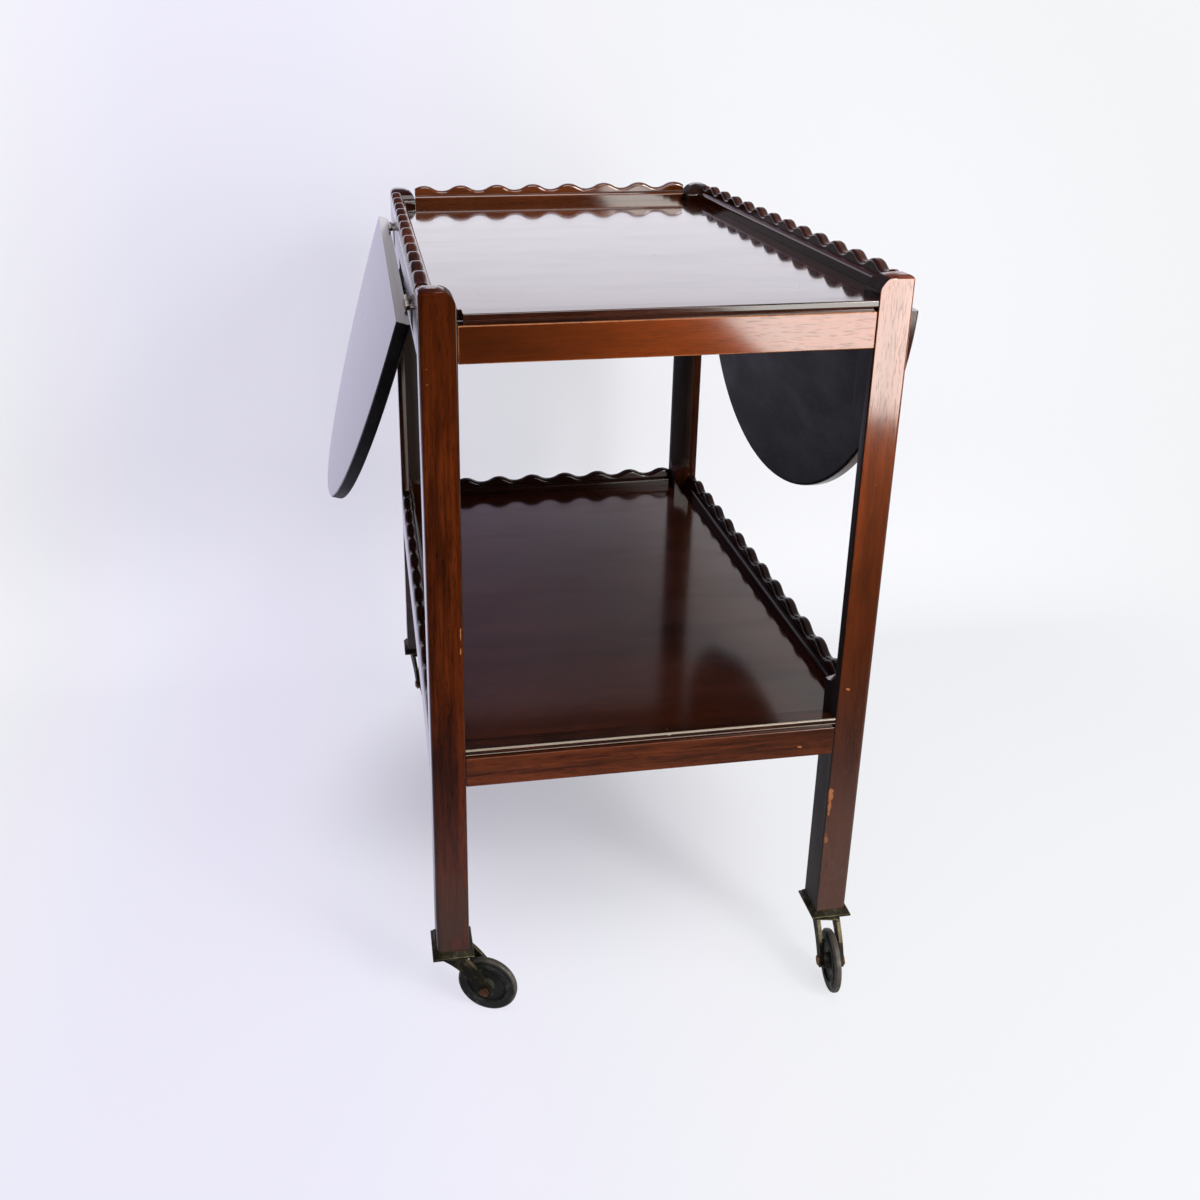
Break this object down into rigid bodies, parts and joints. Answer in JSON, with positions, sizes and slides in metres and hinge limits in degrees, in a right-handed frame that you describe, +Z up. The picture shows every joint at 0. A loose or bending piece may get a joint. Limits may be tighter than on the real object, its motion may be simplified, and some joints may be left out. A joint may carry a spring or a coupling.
{
  "type": "drop leaf tea trolley",
  "caption": "Two-tier wooden tea trolley with a wavy gallery round each tray, half-oval drop leaves held up by hinged props, and swivel casters.",
  "frame": {"origin": "middle of the footprint of the whole trolley, leaves and casters included, on the floor", "axes": "+Z up, +Y from the open front to the back, +X to the right seen from the front"},
  "size_m": [0.5462, 0.7022, 0.7673],
  "materials": {
    "mahogany_legs": "worn French polish",
    "mahogany_aprons": "worn French polish",
    "mahogany_panels": "high French polish",
    "mahogany_mouldings": "French polish",
    "mahogany_leaves": "high French polish",
    "prop_wood": "stained",
    "prop_steel": "dull",
    "hinge_brass": "dull",
    "screw_brass": "dull",
    "caster_brass": "aged, dark",
    "wheel_metal": "aged, dark"
  },
  "bodies": {
    "frame": {"caster_king_pins": "caster_brass", "caster_plate_back_left": "caster_brass", "caster_plate_back_right": "caster_brass", "caster_plate_front_left": "caster_brass", "caster_plate_front_right": "caster_brass", "hinge_frame_plates_left": "hinge_brass", "hinge_frame_plates_right": "hinge_brass", "hinge_frame_screws_left": "screw_brass", "hinge_frame_screws_right": "screw_brass", "hinge_pins_left": "hinge_brass", "hinge_pins_right": "hinge_brass", "leg_back_left": "mahogany_legs", "leg_back_right": "mahogany_legs", "leg_front_left": "mahogany_legs", "leg_front_right": "mahogany_legs", "prop_lugs_left": "prop_wood", "prop_lugs_right": "prop_wood", "prop_rod_left": "prop_steel", "prop_rod_right": "prop_steel", "shelf_apron_back": "mahogany_aprons", "shelf_apron_front": "mahogany_aprons", "shelf_apron_left": "mahogany_aprons", "shelf_apron_right": "mahogany_aprons", "shelf_gallery_back": "mahogany_mouldings", "shelf_gallery_left": "mahogany_mouldings", "shelf_gallery_right": "mahogany_mouldings", "shelf_nosing": "mahogany_mouldings", "shelf_panel": "mahogany_panels", "tray_apron_back": "mahogany_aprons", "tray_apron_front": "mahogany_aprons", "tray_apron_left": "mahogany_aprons", "tray_apron_right": "mahogany_aprons", "tray_gallery_back": "mahogany_mouldings", "tray_gallery_left": "mahogany_mouldings", "tray_gallery_right": "mahogany_mouldings", "tray_nosing": "mahogany_mouldings", "tray_panel": "mahogany_panels"},
    "fork_back_left": {"caster_axle_back_left": "caster_brass", "caster_fork_back_left": "caster_brass"},
    "fork_back_right": {"caster_axle_back_right": "caster_brass", "caster_fork_back_right": "caster_brass"},
    "fork_front_left": {"caster_axle_front_left": "caster_brass", "caster_fork_front_left": "caster_brass"},
    "fork_front_right": {"caster_axle_front_right": "caster_brass", "caster_fork_front_right": "caster_brass"},
    "wheel_back_left": {"caster_wheel_back_left": "wheel_metal"},
    "wheel_back_right": {"caster_wheel_back_right": "wheel_metal"},
    "wheel_front_left": {"caster_wheel_front_left": "wheel_metal"},
    "wheel_front_right": {"caster_wheel_front_right": "wheel_metal"},
    "leaf_left": {"hinge_leaf_plates_left": "hinge_brass", "hinge_leaf_screws_left": "screw_brass", "leaf_left": "mahogany_leaves"},
    "leaf_right": {"hinge_leaf_plates_right": "hinge_brass", "hinge_leaf_screws_right": "screw_brass", "leaf_right": "mahogany_leaves"},
    "prop_left": {"prop_flap_left": "prop_wood"},
    "prop_right": {"prop_flap_right": "prop_wood"}
  },
  "joints": [
    {"name": "leaf_left_hinge", "type": "hinge", "parent": "frame", "child": "leaf_left", "pos_m": [-0.18434, 0.02401, 0.7305], "axis": [0, 1, 0], "range_deg": [0, 73]},
    {"name": "prop_left_pivot", "type": "hinge", "parent": "frame", "child": "prop_left", "pos_m": [-0.17614, 0.02401, 0.713], "axis": [0, 1, 0], "range_deg": [0, 77.4]},
    {"name": "leaf_right_hinge", "type": "hinge", "parent": "frame", "child": "leaf_right", "pos_m": [0.26046, 0.02401, 0.7305], "axis": [0, -1, 0], "range_deg": [0, 92.5]},
    {"name": "prop_right_pivot", "type": "hinge", "parent": "frame", "child": "prop_right", "pos_m": [0.25226, 0.02401, 0.713], "axis": [0, -1, 0], "range_deg": [0, 101.8]},
    {"name": "caster_front_left_swivel", "type": "hinge", "parent": "frame", "child": "fork_front_left", "pos_m": [-0.16394, -0.28199, 0.07], "axis": [0, 0, 1], "continuous": true},
    {"name": "caster_front_left_spin", "type": "hinge", "parent": "fork_front_left", "child": "wheel_front_left", "pos_m": [-0.12896, -0.29683, 0.0315], "axis": [0.3907, 0.9205, 0], "continuous": true},
    {"name": "caster_front_right_swivel", "type": "hinge", "parent": "frame", "child": "fork_front_right", "pos_m": [0.24006, -0.28199, 0.07], "axis": [0, 0, 1], "continuous": true},
    {"name": "caster_front_right_spin", "type": "hinge", "parent": "fork_front_right", "child": "wheel_front_right", "pos_m": [0.23543, -0.3197, 0.0315], "axis": [0.9925, -0.1219, 0], "continuous": true},
    {"name": "caster_back_left_swivel", "type": "hinge", "parent": "frame", "child": "fork_back_left", "pos_m": [-0.16394, 0.33001, 0.07], "axis": [0, 0, 1], "continuous": true},
    {"name": "caster_back_left_spin", "type": "hinge", "parent": "fork_back_left", "child": "wheel_back_left", "pos_m": [-0.15734, 0.29259, 0.0315], "axis": [0.9848, 0.1736, 0], "continuous": true},
    {"name": "caster_back_right_swivel", "type": "hinge", "parent": "frame", "child": "fork_back_right", "pos_m": [0.24006, 0.33001, 0.07], "axis": [0, 0, 1], "continuous": true},
    {"name": "caster_back_right_spin", "type": "hinge", "parent": "fork_back_right", "child": "wheel_back_right", "pos_m": [0.25305, 0.29431, 0.0315], "axis": [0.9397, 0.342, 0], "continuous": true}
  ],
  "couplings": [
    {"joint": "prop_left_pivot", "follows": "leaf_left_hinge", "ratio": 1.0575},
    {"joint": "prop_right_pivot", "follows": "leaf_right_hinge", "ratio": 1.0984}
  ]
}
